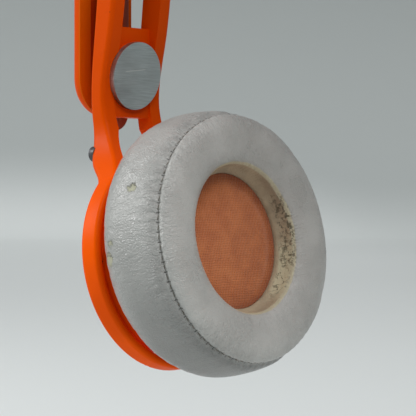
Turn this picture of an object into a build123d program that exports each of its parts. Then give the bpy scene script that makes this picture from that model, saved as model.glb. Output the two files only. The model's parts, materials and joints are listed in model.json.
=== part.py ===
"""On-ear headphones: a sprung headband with two fork arms, each holding a tilting ear cup.

Millimetres. X runs from the left ear to the right ear, +Y is the wearer's back, +Z is up.
The origin is the middle of the crown pad's underside, where the headphones rest on the head.
Every piece is modelled on the left side (X < 0) and mirrored to the right. On one side, "u" is the
distance from the hinge disc's face towards the head, and "w" is the height above the disc's middle.
"""
import math
import os

from build123d import *

# ---- driving dimensions ---------------------------------------------------------------------
DISC_X = 84.0  # hinge disc face to the middle plane
DISC_Z = -93.0  # hinge disc middle, below the crown
CROWN = 10.0  # crown pad underside to the band's outer top

SHELL_T = 4.2  # outer shell of the band
LINER_T = 2.2  # inner shell of the band
TONGUE_HALF = 10.7  # half width of the band's straight ends, and their end radius
CROWN_HALF = 15.0  # half width of the band at the crown
BEND_Z = -56.0  # where the band stops being straight
SIDE_R = 48.0  # radius of the band's shoulders
LINER_END_Z = -57.0  # lower edge of the inner shell
LINER_INSET = 0.8
SPRING_T = 1.0  # sprung steel strip inside the band
SPRING_HALF = 7.0
SPRING_SPAN = 36.0  # degrees each side of the crown
LEAD_T = 1.4  # flat lead between the cups
LEAD_HALF = 2.0
PAD_HALF = 12.5  # crown pad
PAD_SPAN = 24.0
EDGE_R = 3.3  # rounding of the band's outer edges
TONGUE_U = -12.5  # inner face of the straight end
TONGUE_W = -11.3  # tip of the straight end

TRAVEL = 18.0  # size adjustment of each side
CHANNEL_HALF = 6.3  # track in the straight end
CHANNEL_D = 2.8
CHANNEL_W = (-6.4, 28.5)
TRACK_T = 0.8  # track plate over the channel
TRACK_TOP_W = 34.0
SLOT_HALF = 2.3
SLOT_W = (-4.5, 24.5)
TRACK_SCREW_W = 31.3
TRACK_SCREW_Y = 3.8
TRACK_SCREW_L = 2.4
SMALL_HEAD_R = 1.7  # the small screws of the track and strip
SMALL_SHANK_R = 0.85
SMALL_HEAD_T = 0.6
CARRIAGE_HALF = 5.9
CARRIAGE_W = (CHANNEL_W[0] + TRAVEL + 0.7, 28.0)
NECK_W = (SLOT_W[0] + TRAVEL + 0.5, SLOT_W[1] - 0.5)
NECK_HALF = 2.0
CARRIAGE_T = 1.4
CLEAR = 0.3  # gap between sliding faces
SPRING_SLOT = 0.6  # pocket for the detent spring
DETENT_Y = (3.2, 4.8)  # the detent spring's width
DETENT_HALF = 5.6
DETENT_LEAF = (0.2, 0.5)  # the spring's leaf, over the carriage's floor
DETENT_NOSE = 1.0
DETENT_NOSE_D = 0.2  # how far the spring's nose dips under the floor
DETENT_GAP = (0.2, 0.4)  # the pocket round the spring, across and along it
STRIP_SCREW_W = (16.2, 21.8)
STRIP_SCREW_L = 2.0

STRIP_T = 1.0  # steel slider strip
STRIP_U = -9.8  # its outer face
STRIP_HALF = 5.6
STRIP_TOP_W = 26.0
STRIP_END_W = -9.7  # middle of its rounded end

AXLE_R = 3.0
AXLE_HEAD_R = 6.0
AXLE_HEAD_U = (-4.6, -3.2)
WASHER_R = 5.6
WASHER_T = 0.3
BUSH_R = 4.0
RUN_GAP = 0.04  # radial play of the running fits
HUB_BACK_U = -8.5  # back of the hub boss
HUB_BOSS_R = 6.5
POCKET_FLOOR_U = -5.2
HUB_U = (-6.0, 3.0)  # the hub's disc seat, before the disc's plane cuts it
HUB_OVERLAP = 0.5  # how far the boss runs into the seat
HEAD_GAP = 0.5  # round the axle's head in its pocket

DISC_R = 9.7
DISC_T = 1.6
DISC_LEAN = 8.0  # the disc's upper end leans towards the head
DISC_GAP = 0.15  # round the disc in its seat
SEAT_LIP = 0.2  # the disc stands this much over its seat

RING_U = 11.0  # ring middle
RING_W = -52.5
CUP_LEAN = 9.0  # the cup's lower end leans towards the head
RING_R = 30.9
RING_BORE_R = 28.3
RING_T = 6.2

# Fork, seen along X: outer half width, flare into the ring, and windows (Y, w).
ARM_HALF = 12.2
ARM_TOP_W = 36.0
ARM_TOP_SAG = 7.0
KNEE_W = -13.0
FLARE_MID = (18.1, -26.8)
THROAT_W = (-15.0, -26.0)  # the throat's knee, and its edge beside the middle of the flare
LEG_Y = 4.8  # leg thickness across
WEB_W = (-11.8, 14.0)  # bridge that carries the disc
WEB_FACE_U = -2.4
TOUCH = 32.0  # angle on the ring where the flares run into it
THROUGH = 30.0  # more than the fork's depth along X, for cuts right through
WINDOW_TOP_W = 30.0
# Fork, seen along Y: outer and inner faces of the legs (u, w) above the ring.
LEG_OUT = ((-3.4, 36.0), (-6.0, 10.0), (-6.7, -12.0), (-4.6, -21.0), (-1.8, -26.3))
LEG_IN = ((3.8, 36.0), (0.4, 10.0), (-1.8, -10.0), (3.0, -20.5), (8.6, -27.0))
RING_TOP_W = -33.0
RING_EDGE_R = 1.2
LEG_EDGE_R = 1.2
NECK_SCREW = (12.7, -22.5)  # Y and w
NECK_SCREW_HEAD_R = 2.2
NECK_SCREW_R = 1.1
NECK_SCREW_U = (-5.0, -3.2, 2.0)  # head top, head base and tip

CUP_R = 27.2
CUP_BACK_N = -10.4
CUP_FLAT_R = 12.0
CUP_HAUNCH = (22.4, -7.2)
HAUNCH_NORMAL = (0.75, -0.66)  # outward direction of the haunch
CUP_FRONT_N = 5.2
WALL = 1.8
SKIN = 0.4  # the posts and bosses stop this far inside the shell's outer face
BAFFLE_T = 2.0
TURRET_R = 18.8
TURRET_WALL = 1.6
TURRET_N = 23.3
OPENING_RISE = 2.0  # the driver and cushion sit this much above the cup's middle
GRILLE_T = 0.6
CLOTH_T = 0.6
PIN_R = 1.5
PIN_Y = (22.5, 29.9)
PIN_BOSS_R = 3.0
PLATE_N = (7.0, 8.0)  # cushion plate
PLATE_R = 29.5
SKIRT_T = 1.6  # the plate's skirt on the cup's rim
SCREW_CIRCLE = 22.9  # baffle screws
SCREW_START = 60.0
SCREW_HEAD_R = 1.8
SCREW_HEAD_T = 1.1
SCREW_R = 0.9
SCREW_TIP_N = -2.5
POST_R = 2.5
PIN_BOSS_Y = (22.0, 27.0)
CAP_R = 11.0  # plate let into the cup's back
CAP_T = 0.8

JACK_TILT = 35.0  # socket axis, outwards from the cup's lower edge
JACK_MOUTH = (24.9, -6.3)  # local down and n
JACK_R = 3.1
JACK_BORE_R = 1.8
JACK_L = 14.0
JACK_CUT = -2.0  # where the cuts for the socket start, outside its mouth
JACK_SLEEVE = (0.3, 5.0)  # sleeve in the shell, behind the mouth
JACK_SLEEVE_T = 1.2

BOARD_R = 19.0  # circuit board
BOARD_T = 1.2
BOARD_X = -11.0
BOARD_SIZE = (16.0, 40.0)
HOLE_R = 1.2  # grille holes
HOLE_ROWS = ((0.0, 1), (5.0, 6), (10.0, 12), (15.0, 18))  # circle radius and count
FOAM_T = 1.0
FOAM_GAP = 0.2  # round the foam in the turret
MAGNET_R = 9.5
MAGNET_T = 6.8
FRAME_BORE_R = 8.0
FRAME_T = 1.5
FRAME_RIM = (1.6, 5.0)  # rim thickness, and height over the frame's back
COIL = (6.2, 6.9, 0.2, 4.3)  # inner and outer radius, and its ends over the frame's back
CONE_R = (6.5, 12.0)
CONE_N = (5.3, 4.4, 5.4, 5.0)  # the film's heights from its middle outwards, over the frame's back
FILM_T = 0.2
DRIVER_N = TURRET_N - 7.4  # back of the driver's frame

CUSHION_R = 36.2
CUSHION_SEAM = (34.3, 29.3)  # radius and n of each corner of the cushion's section
CUSHION_MOUTH = (20.15, 30.4)
CUSHION_TOP = (27.5, 32.7)
CUSHION_BACK = (32.6, PLATE_N[1])
CUSHION_WAIST_N = 16.5
FIT_GAP = 0.3  # between the turret and what fits round it

# ---- helpers --------------------------------------------------------------------------------


def world_x(u):
    """The left side's X for a distance u inwards from the hinge disc's face."""
    return u - DISC_X


def world_z(w):
    return w + DISC_Z


def box_uw(u, y, w):
    """A box from (low, high) pairs in u, Y and w."""
    size = (u[1] - u[0], y[1] - y[0], w[1] - w[0])
    middle = Pos(world_x(sum(u) / 2), sum(y) / 2, world_z(sum(w) / 2))
    return middle * Box(*size)


def rod_u(u, radius, y=0.0, w=0.0):
    """A cylinder along X between two u values."""
    place = Pos(world_x(sum(u) / 2), y, world_z(w)) * Rot(0, 90, 0)
    return place * Cylinder(radius, u[1] - u[0])


def turned(*points):
    """A solid of revolution about local Z from (radius, height) points."""
    outline = Polyline(*[(r, 0, n) for r, n in points], close=True)
    return revolve(make_face(outline), Axis.Z)


def tube(r_in, r_out, n_from, n_to):
    return turned((r_in, n_from), (r_out, n_from), (r_out, n_to), (r_in, n_to))


def disc(radius, n_from, n_to):
    return Pos(0, 0, (n_from + n_to) / 2) * Cylinder(radius, n_to - n_from)


def around(radius, count, start=0.0):
    """Places on a circle, for screws."""
    return [Rot(0, 0, start + 360 / count * i) * Pos(radius, 0, 0) for i in range(count)]


def cup_place():
    """The cup's own frame: local X down, local Y to the back, local Z into the ear."""
    lean = math.radians(CUP_LEAN)
    inwards = (math.cos(lean), 0, math.sin(lean))
    down = (math.sin(lean), 0, -math.cos(lean))
    return Plane(origin=(world_x(RING_U), 0, world_z(RING_W)), x_dir=down, z_dir=inwards).location


PIECES = {}


def keep(name, shape):
    """Keeps a piece that lies on the middle plane."""
    shape.label = name
    PIECES[name] = shape


def keep_pair(name, shape):
    """Keeps a left piece and its mirror image on the right."""
    keep(f"{name}_left", shape)
    keep(f"{name}_right", mirror(shape, about=Plane.YZ))


# ---- headband -------------------------------------------------------------------------------
HALF_SPAN = DISC_X - TONGUE_U + SHELL_T  # outer face of the straight end to the middle plane
SIDE_X = HALF_SPAN - SIDE_R
RISE = CROWN - BEND_Z
TOP_R = (SIDE_X**2 + RISE**2 - SIDE_R**2) / (2 * (RISE - SIDE_R))
TOP_Z = CROWN - TOP_R
SHOULDER = math.atan2(SIDE_X, BEND_Z - TOP_Z)  # half angle of the top arc, from straight up


def arch(depth, end_z, limit=None):
    """One line of the band's arch, at a depth under its outer face, as three tangent arcs.

    With end_z the line runs down the straight ends, and with limit it stops at that angle.
    """
    top_r = TOP_R - depth
    if limit is not None:
        a = math.radians(limit)
        ends = [(s * top_r * math.sin(a), 0, TOP_Z + top_r * math.cos(a)) for s in (-1, 1)]
        return [ThreePointArc(ends[0], (0, 0, TOP_Z + top_r), ends[1])]
    side_r = SIDE_R - depth
    joins = []
    for s in (-1, 1):
        mid = (math.pi / 2 + SHOULDER) / 2
        foot = (s * (HALF_SPAN - depth), 0, BEND_Z)
        half = (s * (SIDE_X + side_r * math.sin(mid)), 0, BEND_Z + side_r * math.cos(mid))
        head = (s * top_r * math.sin(SHOULDER), 0, TOP_Z + top_r * math.cos(SHOULDER))
        joins.append((foot, half, head))
    left, right = joins
    tips = [(s * (HALF_SPAN - depth), 0, end_z) for s in (-1, 1)]
    return [
        Line(tips[0], left[0]),
        ThreePointArc(*left),
        ThreePointArc(left[2], (0, 0, TOP_Z + top_r), right[2]),
        ThreePointArc(*reversed(right)),
        Line(right[0], tips[1]),
    ]


def band(depth_from, depth_to, half_width, end_z=None, limit=None):
    """A layer of the band between two depths, of one width."""
    outer = arch(depth_from, end_z, limit)
    inner = arch(depth_to, end_z, limit)
    closers = [Line(outer[0] @ 0, inner[0] @ 0), Line(outer[-1] @ 1, inner[-1] @ 1)]
    face = make_face(Curve() + [*outer, *inner, *closers])
    return extrude(face, amount=half_width, both=True)


def band_outline():
    """The band seen along X: round tips, straight ends, and a wider crown."""
    tip_z = world_z(TONGUE_W) + TONGUE_HALF
    sides = []
    for s in (-1, 1):
        low = (0, s * TONGUE_HALF, tip_z)
        bend = (0, s * TONGUE_HALF, BEND_Z)
        crown = (0, s * CROWN_HALF, CROWN)
        flare = Spline(bend, crown, tangents=[(0, 0, 1), (0, s * 0.02, 1)])
        sides.append([Line(low, bend), flare])
    tip = ThreePointArc((0, -TONGUE_HALF, tip_z), (0, 0, tip_z - TONGUE_HALF), (0, TONGUE_HALF, tip_z))
    top = Line((0, -CROWN_HALF, CROWN), (0, CROWN_HALF, CROWN))
    face = make_face(Curve() + [tip, *sides[0], *sides[1], top])
    return extrude(face, amount=HALF_SPAN + 1, both=True, dir=(1, 0, 0))


def inset_outline():
    """The outline of the band's inner shell, a little narrower than the outer one."""
    return scale(band_outline(), by=(1, 1 - LINER_INSET / TONGUE_HALF, 1))


def on_outer_line(edge):
    """Whether an edge lies on the band's outer face, away from its middle."""
    p = edge @ 0.5
    side = math.hypot(abs(p.X) - SIDE_X, p.Z - BEND_Z) - SIDE_R
    top = math.hypot(p.X, p.Z - TOP_Z) - TOP_R
    straight = abs(p.X) - HALF_SPAN
    gap = straight if p.Z < BEND_Z else min(abs(side), abs(top))
    return abs(gap) < 0.05 and edge.length > 2 and not is_cross_edge(edge)


def is_cross_edge(edge):
    """Whether an edge runs straight across the band."""
    a, b = edge @ 0, edge @ 1
    return abs(a.Y + b.Y) < 0.1 and abs(a.X - b.X) < 0.1 and abs(a.Z - b.Z) < 0.1


def make_headband():
    """The band: two shells round a steel spring, the lead between the cups and the crown pad."""
    outer = band(0, SHELL_T, CROWN_HALF + 1, end_z=world_z(TONGUE_W)) & band_outline()
    outer = fillet([e for e in outer.edges() if on_outer_line(e)], EDGE_R)
    outer -= band(SHELL_T - SPRING_T, SHELL_T + 1, SPRING_HALF, limit=SPRING_SPAN)
    channel = box_uw((TONGUE_U - CHANNEL_D, 0), (-CHANNEL_HALF, CHANNEL_HALF), CHANNEL_W)
    recess_w = (CHANNEL_W[0], TRACK_TOP_W)
    recess = box_uw((TONGUE_U - TRACK_T, 0), (-CHANNEL_HALF, CHANNEL_HALF), recess_w)
    cuts = channel + recess + track_screws()
    outer = outer - cuts - mirror(cuts, about=Plane.YZ)
    keep("headband_outer_shell", outer)
    keep("spring_band", band(SHELL_T - SPRING_T, SHELL_T, SPRING_HALF, limit=SPRING_SPAN))
    liner = band(SHELL_T, SHELL_T + LINER_T, CROWN_HALF + 1, end_z=LINER_END_Z) & inset_outline()
    lead = band(SHELL_T, SHELL_T + LEAD_T, LEAD_HALF, limit=SPRING_SPAN)
    keep("headband_inner_shell", liner - lead)
    keep("crossover_lead", lead)
    pad = band(SHELL_T + LINER_T, CROWN, PAD_HALF, limit=PAD_SPAN)
    keep("crown_pad", pad)


def track_screws():
    """Two countersunk screws that hold a track plate's upper end."""
    screws = Part()
    for y in (-TRACK_SCREW_Y, TRACK_SCREW_Y):
        head = rod_u((TONGUE_U - TRACK_T / 2, TONGUE_U), SMALL_HEAD_R, y, TRACK_SCREW_W)
        shank = rod_u((TONGUE_U - TRACK_SCREW_L, TONGUE_U), SMALL_SHANK_R, y, TRACK_SCREW_W)
        screws += head + shank
    return screws


def make_track():
    """The plate that keeps the carriage in the band's straight end."""
    wide = (-CHANNEL_HALF, CHANNEL_HALF)
    plate_w = (CHANNEL_W[0], TRACK_TOP_W)
    track = box_uw((TONGUE_U - TRACK_T, TONGUE_U), wide, plate_w)
    track -= box_uw((TONGUE_U - CHANNEL_D, 0), (-SLOT_HALF, SLOT_HALF), SLOT_W)
    keep_pair("track_plate", track - track_screws())
    keep_pair("track_screws", track_screws())


def strip_screws():
    """Two screws from the steel strip into the carriage's neck."""
    screws = Part()
    face = STRIP_U + STRIP_T
    for w in STRIP_SCREW_W:
        head = rod_u((face, face + SMALL_HEAD_T), SMALL_HEAD_R, w=w)
        screws += head + rod_u((STRIP_U - STRIP_SCREW_L, face), SMALL_SHANK_R, w=w)
    return screws


def make_slider():
    """What slides for size: carriage, detent spring, steel strip, and the axle of the swivel."""
    floor = TONGUE_U - CHANNEL_D + CLEAR
    wide = (-CARRIAGE_HALF, CARRIAGE_HALF)
    carriage = box_uw((floor, floor + CARRIAGE_T), wide, CARRIAGE_W)
    carriage += box_uw((floor, STRIP_U), (-NECK_HALF, NECK_HALF), NECK_W)
    middle = sum(CARRIAGE_W) / 2
    gap_y, gap_w = DETENT_GAP
    pocket_w = (middle - DETENT_HALF - gap_w, middle + DETENT_HALF + gap_w)
    pocket_y = (DETENT_Y[0] - gap_y, DETENT_Y[1] + gap_y)
    carriage -= box_uw((floor, floor + SPRING_SLOT), pocket_y, pocket_w)
    carriage -= strip_screws()
    keep_pair("slider_carriage", carriage)
    leaf_w = (middle - DETENT_HALF, middle + DETENT_HALF)
    nose_w = (middle - DETENT_NOSE, middle + DETENT_NOSE)
    spring = box_uw((floor + DETENT_LEAF[0], floor + DETENT_LEAF[1]), DETENT_Y, leaf_w)
    spring += box_uw((floor - DETENT_NOSE_D, floor + DETENT_LEAF[0]), DETENT_Y, nose_w)
    keep_pair("detent_spring", spring)

    strip_w = (STRIP_END_W, STRIP_TOP_W)
    face = STRIP_U + STRIP_T
    strip = box_uw((STRIP_U, face), (-STRIP_HALF, STRIP_HALF), strip_w)
    strip += rod_u((STRIP_U, face), STRIP_HALF, w=STRIP_END_W)
    strip -= rod_u((STRIP_U, face), AXLE_R) + strip_screws()
    keep_pair("slider_strip", strip)
    keep_pair("strip_screws", strip_screws())
    axle = rod_u((STRIP_U, AXLE_HEAD_U[0]), AXLE_R) + rod_u(AXLE_HEAD_U, AXLE_HEAD_R)
    keep_pair("swivel_axle", axle)
    washer_u = (AXLE_HEAD_U[0] - WASHER_T, AXLE_HEAD_U[0])
    keep_pair("pivot_washer", rod_u(washer_u, WASHER_R) - rod_u(washer_u, AXLE_R))


# ---- fork arm -------------------------------------------------------------------------------


def ring_face_u(w, side):
    """The ring's front (side 1) or back (side -1) face at a height, leaning with the cup."""
    lean = math.radians(CUP_LEAN)
    return RING_U - (w - RING_W) * math.tan(lean) + side * RING_T / 2 / math.cos(lean)


def fork_silhouette():
    """The fork seen along X, without its windows."""
    touch = math.radians(TOUCH)
    reach = RING_R - RING_EDGE_R
    touch_y = reach * math.cos(touch)
    touch_z = world_z(RING_W) + reach * math.sin(touch)
    x = world_x(0)
    edges = []
    for s in (-1, 1):
        shoulder = (x, s * ARM_HALF, world_z(ARM_TOP_W - ARM_TOP_SAG))
        knee = (x, s * ARM_HALF, world_z(KNEE_W))
        middle = (x, s * FLARE_MID[0], world_z(FLARE_MID[1]))
        foot = (x, s * touch_y, touch_z)
        ends = [(0, 0, -1), (0, s * math.sin(touch), -math.cos(touch))]
        edges += [Line(shoulder, knee), Spline(knee, middle, foot, tangents=ends)]
    top = ThreePointArc(edges[0] @ 0, (x, 0, world_z(ARM_TOP_W)), edges[2] @ 0)
    bottom = Line(edges[1] @ 1, edges[3] @ 1)
    face = make_face(Curve() + [*edges, top, bottom])
    return extrude(face, amount=THROUGH, both=True, dir=(1, 0, 0))


def fork_side():
    """The fork seen along Y: a leaning handle, a knee, and the ring's plane."""
    low_w = RING_W - 2 * RING_R
    lines = []
    lean = math.radians(CUP_LEAN)
    for points, side in ((LEG_OUT, -1), (LEG_IN, 1)):
        join = (ring_face_u(RING_TOP_W, side), RING_TOP_W)
        low = (ring_face_u(low_w, side), low_w)
        path = [(world_x(u), 0, world_z(w)) for u, w in (*points, join)]
        start = (path[1][0] - path[0][0], 0, path[1][2] - path[0][2])
        end = (math.sin(lean), 0, -math.cos(lean))
        lines.append(Spline(*path, tangents=[start, end]))
        lines.append(Line(path[-1], (world_x(low[0]), 0, world_z(low[1]))))
    caps = [Line(lines[0] @ 0, lines[2] @ 0), Line(lines[1] @ 1, lines[3] @ 1)]
    face = make_face(Curve() + [*lines, *caps])
    return extrude(face, amount=2 * RING_R, both=True)


def on_outer_leg(edge):
    """Whether an edge runs along the outside of a leg, above the ring."""
    p = edge @ 0.5
    along = abs((edge @ 0).Z - (edge @ 1).Z) > LEG_Y
    return along and abs(p.Y) > ARM_HALF - 0.1 and p.Z > world_z(RING_TOP_W)


def fork_windows():
    """The openings above and below the bridge, and the cup's bore."""
    inner = ARM_HALF - LEG_Y
    upper = box_uw((-THROUGH, THROUGH), (-inner, inner), (WEB_W[1], WINDOW_TOP_W))
    x = world_x(0)
    edges = []
    for s in (-1, 1):
        top = (x, s * inner, world_z(WEB_W[0]))
        knee = (x, s * inner, world_z(THROAT_W[0]))
        middle = (x, s * (FLARE_MID[0] - LEG_Y), world_z(THROAT_W[1]))
        edges += [Line(top, knee), Line(knee, middle)]
    lid = Line(edges[0] @ 0, edges[2] @ 0)
    base = Line(edges[1] @ 1, edges[3] @ 1)
    face = make_face(Curve() + [*edges, lid, base])
    throat = extrude(face, amount=THROUGH, both=True, dir=(1, 0, 0))
    throat -= cup_place() * Cylinder(RING_R, 2 * THROUGH)
    return upper + throat


def pivot_pins(play=0.0):
    """The two pins that a cup tilts on, in the cup's frame."""
    length = PIN_Y[1] - PIN_Y[0]
    middle = sum(PIN_Y) / 2
    pins = Part()
    for s in (-1, 1):
        pins += Pos(0, s * middle, 0) * Rot(90, 0, 0) * Cylinder(PIN_R + play, length + 2 * play)
    return pins


def neck_screws():
    """Round-headed screws in the back of each leg's neck."""
    screws = Part()
    top, base, tip = NECK_SCREW_U
    for s in (-1, 1):
        y = s * NECK_SCREW[0]
        screws += rod_u((top, base), NECK_SCREW_HEAD_R, y, NECK_SCREW[1])
        screws += rod_u((base, tip), NECK_SCREW_R, y, NECK_SCREW[1])
    return screws


def hinge_disc(radius, thickness, lift=0.0):
    """The leaning disc in the fork's bridge, measured back from its face."""
    place = Pos(world_x(0), 0, world_z(0)) * Rot(0, 90 + DISC_LEAN, 0)
    return place * Pos(0, 0, lift - thickness / 2) * Cylinder(radius, thickness)


def make_fork():
    """The fork arm with its ring, disc, bush and screws."""
    slab = fork_silhouette() & fork_side()
    slab = fillet([e for e in slab.edges() if on_outer_leg(e)], LEG_EDGE_R)
    legs = slab - fork_windows()
    ring = fillet(tube(RING_BORE_R, RING_R, -RING_T / 2, RING_T / 2).edges(), RING_EDGE_R)
    bore = Cylinder(RING_BORE_R + RING_EDGE_R / 2, 2 * THROUGH)
    fork = legs - cup_place() * bore + cup_place() * ring
    inner = ARM_HALF - LEG_Y
    fork -= box_uw((WEB_FACE_U, THROUGH), (-inner, inner), WEB_W)
    seat_r = DISC_R - SEAT_LIP
    fork += rod_u(HUB_U, seat_r) & hinge_disc(seat_r, 2 * DISC_R, lift=-DISC_T)
    fork += rod_u((HUB_BACK_U, HUB_U[0] + HUB_OVERLAP), HUB_BOSS_R)
    fork -= hinge_disc(DISC_R + DISC_GAP, 4 * DISC_T, lift=3 * DISC_T)
    fork -= rod_u((HUB_BACK_U, POCKET_FLOOR_U), BUSH_R)
    fork -= rod_u((POCKET_FLOOR_U, HUB_U[1] + DISC_T), AXLE_HEAD_R + HEAD_GAP)
    fork -= cup_place() * pivot_pins(RUN_GAP)
    fork -= neck_screws()
    keep_pair("fork_arm", fork)
    keep_pair("neck_screws", neck_screws())
    keep_pair("hinge_disc", hinge_disc(DISC_R, DISC_T))
    bush = rod_u((HUB_BACK_U, POCKET_FLOOR_U), BUSH_R)
    keep_pair("pivot_bush", bush - rod_u((HUB_BACK_U, POCKET_FLOOR_U), AXLE_R + RUN_GAP))


# ---- ear cup --------------------------------------------------------------------------------


def dome(inset):
    """The cup's outer form, or its hollow when inset by the wall."""
    back = CUP_BACK_N + inset
    out_r, out_n = HAUNCH_NORMAL
    haunch = (CUP_HAUNCH[0] - out_r * inset, 0, CUP_HAUNCH[1] - out_n * inset)
    rim = CUP_R - inset
    top = CUP_FRONT_N
    outline = [
        Line((0, 0, back), (CUP_FLAT_R, 0, back)),
        ThreePointArc((CUP_FLAT_R, 0, back), haunch, (rim, 0, 0)),
        Line((rim, 0, 0), (rim, 0, top)),
        Line((rim, 0, top), (0, 0, top)),
        Line((0, 0, top), (0, 0, back)),
    ]
    return revolve(make_face(Curve() + outline), Axis.Z)


def jack_rod(radius, start, end):
    """A cylinder on the socket's axis, from start to end behind the mouth."""
    place = Pos(JACK_MOUTH[0], 0, JACK_MOUTH[1]) * Rot(0, 90 + JACK_TILT, 0)
    return place * Pos(0, 0, -(start + end) / 2) * Cylinder(radius, end - start)


def baffle_screws():
    """Three screws that hold the baffle to the cup shell."""
    screws = Part()
    for place in around(SCREW_CIRCLE, 3, SCREW_START):
        screws += place * disc(SCREW_HEAD_R, CUP_FRONT_N, CUP_FRONT_N + SCREW_HEAD_T)
        screws += place * disc(SCREW_R, SCREW_TIP_N, CUP_FRONT_N)
    return screws


def make_cup_shell():
    """The cup's orange shell, with screw posts, pin bosses and the socket's sleeve."""
    shell = dome(0) - dome(WALL)
    extras = Part()
    for place in around(SCREW_CIRCLE, 3, SCREW_START):
        extras += place * disc(POST_R, CUP_BACK_N, CUP_FRONT_N - BAFFLE_T)
    boss_l = PIN_BOSS_Y[1] - PIN_BOSS_Y[0]
    for s in (-1, 1):
        place = Pos(0, s * sum(PIN_BOSS_Y) / 2, 0) * Rot(90, 0, 0)
        extras += place * Cylinder(PIN_BOSS_R, boss_l)
    extras += jack_rod(JACK_R + JACK_SLEEVE_T, *JACK_SLEEVE)
    shell += extras & dome(SKIN)
    return shell - pivot_pins() - baffle_screws() - jack_rod(JACK_R, JACK_CUT, JACK_L)


def make_baffle():
    """The plate over the cup, with the turret that carries the driver."""
    baffle = disc(CUP_R - WALL, CUP_FRONT_N - BAFFLE_T, CUP_FRONT_N)
    turret = tube(TURRET_R - TURRET_WALL, TURRET_R, CUP_FRONT_N, TURRET_N)
    baffle += Pos(-OPENING_RISE, 0, 0) * turret
    socket = jack_rod(JACK_R + FIT_GAP, JACK_CUT, JACK_L + FIT_GAP)
    return baffle - socket - baffle_screws()


def make_cushion_plate():
    """The plate that carries the cushion, on a skirt that stands on the cup's rim."""
    back, front = PLATE_N
    top = disc(PLATE_R, back, front) - disc(TURRET_R + FIT_GAP, back, front)
    return Pos(-OPENING_RISE, 0, 0) * top + tube(CUP_R - SKIRT_T, CUP_R, CUP_FRONT_N, back)


def make_driver():
    """The driver and what covers it, centred on its own axis."""
    parts = {}
    inner = TURRET_R - TURRET_WALL
    grille = disc(TURRET_R, TURRET_N, TURRET_N + GRILLE_T)
    for radius, count in HOLE_ROWS:
        for hole in around(radius, count):
            grille -= hole * disc(HOLE_R, TURRET_N, TURRET_N + GRILLE_T)
    parts["driver_grille"] = grille
    parts["driver_foam"] = disc(inner - FOAM_GAP, TURRET_N - FOAM_T, TURRET_N)
    cloth_n = TURRET_N + GRILLE_T
    parts["speaker_cloth"] = disc(TURRET_R, cloth_n, cloth_n + CLOTH_T)
    rim_t, rim_h = FRAME_RIM
    frame = tube(FRAME_BORE_R, inner, DRIVER_N, DRIVER_N + FRAME_T)
    frame += tube(inner - rim_t, inner, DRIVER_N + FRAME_T, DRIVER_N + rim_h)
    parts["driver_frame"] = frame
    parts["driver_magnet"] = disc(MAGNET_R, DRIVER_N - MAGNET_T, DRIVER_N)
    coil = tube(COIL[0], COIL[1], DRIVER_N + COIL[2], DRIVER_N + COIL[3])
    radii = (0, *CONE_R, inner)
    lower = [(r, DRIVER_N + n) for r, n in zip(radii, CONE_N)]
    upper = [(r, n + FILM_T) for r, n in reversed(lower)]
    parts["diaphragm"] = coil + turned(*lower, *upper)
    return parts


def make_cushion():
    """The ear cushion's plain outer form."""
    bore = TURRET_R + FIT_GAP
    mouth = (CUSHION_MOUTH[0], 0, CUSHION_MOUTH[1])
    seam = (CUSHION_SEAM[0], 0, CUSHION_SEAM[1])
    back = (CUSHION_BACK[0], 0, CUSHION_BACK[1])
    step_n = TURRET_N + GRILLE_T + CLOTH_T + FIT_GAP
    outline = [
        Line((bore, 0, back[2]), back),
        ThreePointArc(back, (CUSHION_R, 0, CUSHION_WAIST_N), seam),
        ThreePointArc(seam, (CUSHION_TOP[0], 0, CUSHION_TOP[1]), mouth),
        Line(mouth, (bore, 0, step_n)),
        Line((bore, 0, step_n), (bore, 0, back[2])),
    ]
    return revolve(make_face(Curve() + outline), Axis.Z)


def make_cup():
    """The tilting ear cup and everything in it, built in its own frame."""
    cap = disc(CAP_R, CUP_BACK_N, CUP_BACK_N + CAP_T)
    board_n = CUP_FRONT_N - BAFFLE_T
    board = disc(BOARD_R, board_n - BOARD_T, board_n) & Pos(BOARD_X, 0, 0) * Box(*BOARD_SIZE, THROUGH)
    parts = {
        "cup_shell": make_cup_shell() - cap,
        "outer_cap": cap,
        "pivot_pins": pivot_pins(),
        "audio_jack": jack_rod(JACK_R, 0, JACK_L) - jack_rod(JACK_BORE_R, 0, JACK_L),
        "baffle_screws": baffle_screws(),
        "baffle": make_baffle(),
        "circuit_board": board,
        "cushion_plate": make_cushion_plate(),
    }
    raised = {**make_driver(), "cushion": make_cushion()}
    for name, shape in raised.items():
        parts[name] = Pos(-OPENING_RISE, 0, 0) * shape
    for name, shape in parts.items():
        keep_pair(name, cup_place() * shape)


def main():
    make_headband()
    make_track()
    make_slider()
    make_fork()
    make_cup()
    os.makedirs("parts", exist_ok=True)
    for name, shape in PIECES.items():
        export_step(shape, f"parts/{name}.step")
    print(len(PIECES), "pieces")


main()
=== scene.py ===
"""On-ear headphones: materials, soft pieces, lights and camera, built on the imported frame.

The ear cushions, speaker cloths and crown pad are made here. Everything else is the CAD model's
own geometry with a procedural material. Lengths inside a cup are in millimetres in the cup's own
frame: x down, y to the back, n into the ear. Scene lengths are metres.
"""

import json
import math

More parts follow.
